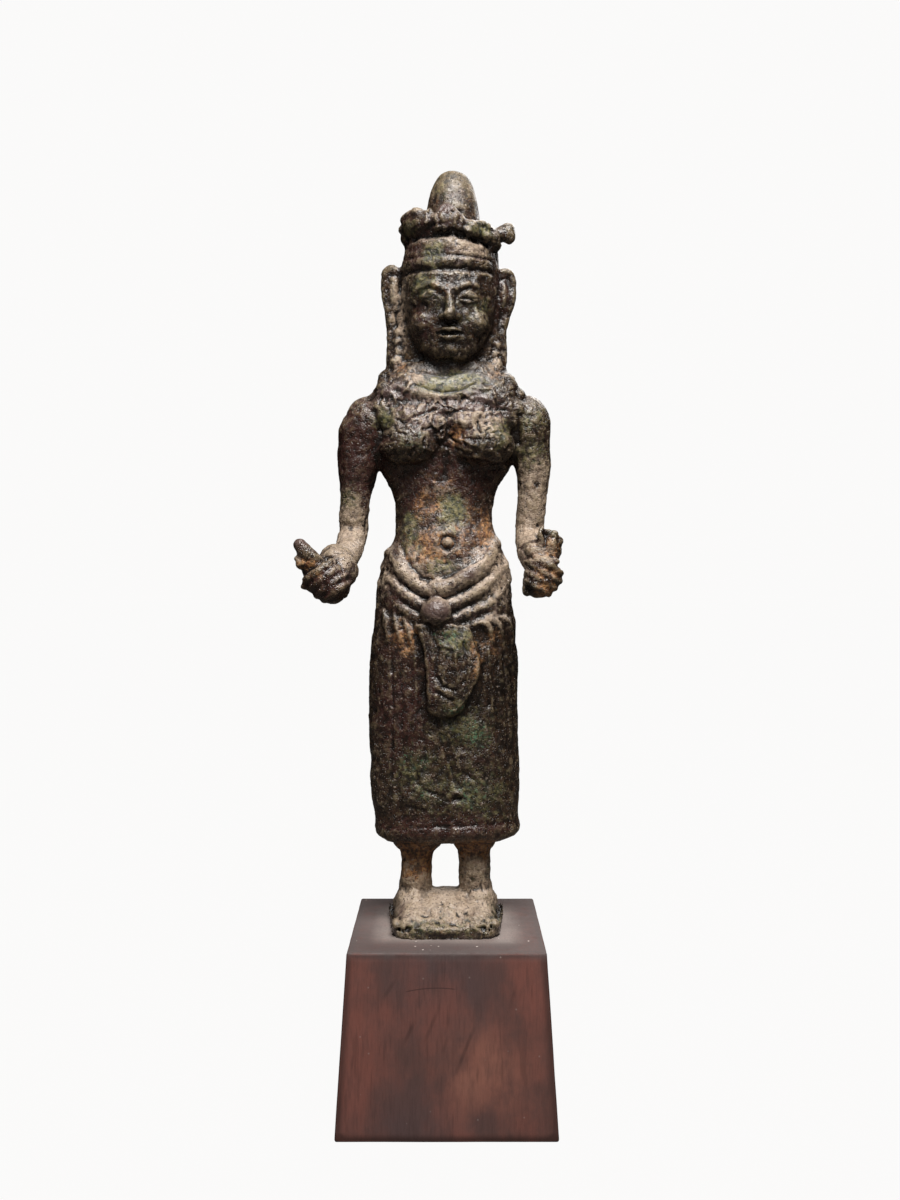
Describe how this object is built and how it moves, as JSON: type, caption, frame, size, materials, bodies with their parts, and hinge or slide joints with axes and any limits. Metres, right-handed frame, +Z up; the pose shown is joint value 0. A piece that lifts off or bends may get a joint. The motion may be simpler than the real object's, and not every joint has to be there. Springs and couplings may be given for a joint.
{
  "type": "deity statuette",
  "caption": "Standing bronze deity statuette with a conical crown, long wrapped skirt and closed hands held forward, on a tapered square wooden mount.",
  "frame": {"origin": "centre of the wooden mount's underside", "axes": "+Z up; the figure faces -Y; +X to the figure's left, which is the viewer's right in the picture"},
  "size_m": [0.0484, 0.0453, 0.184],
  "materials": {
    "patinated_bronze": "satin",
    "dark_hardwood": "satin"
  },
  "bodies": {
    "root": {"bronze_figure": "patinated_bronze", "wooden_mount": "dark_hardwood"}
  },
  "joints": []
}
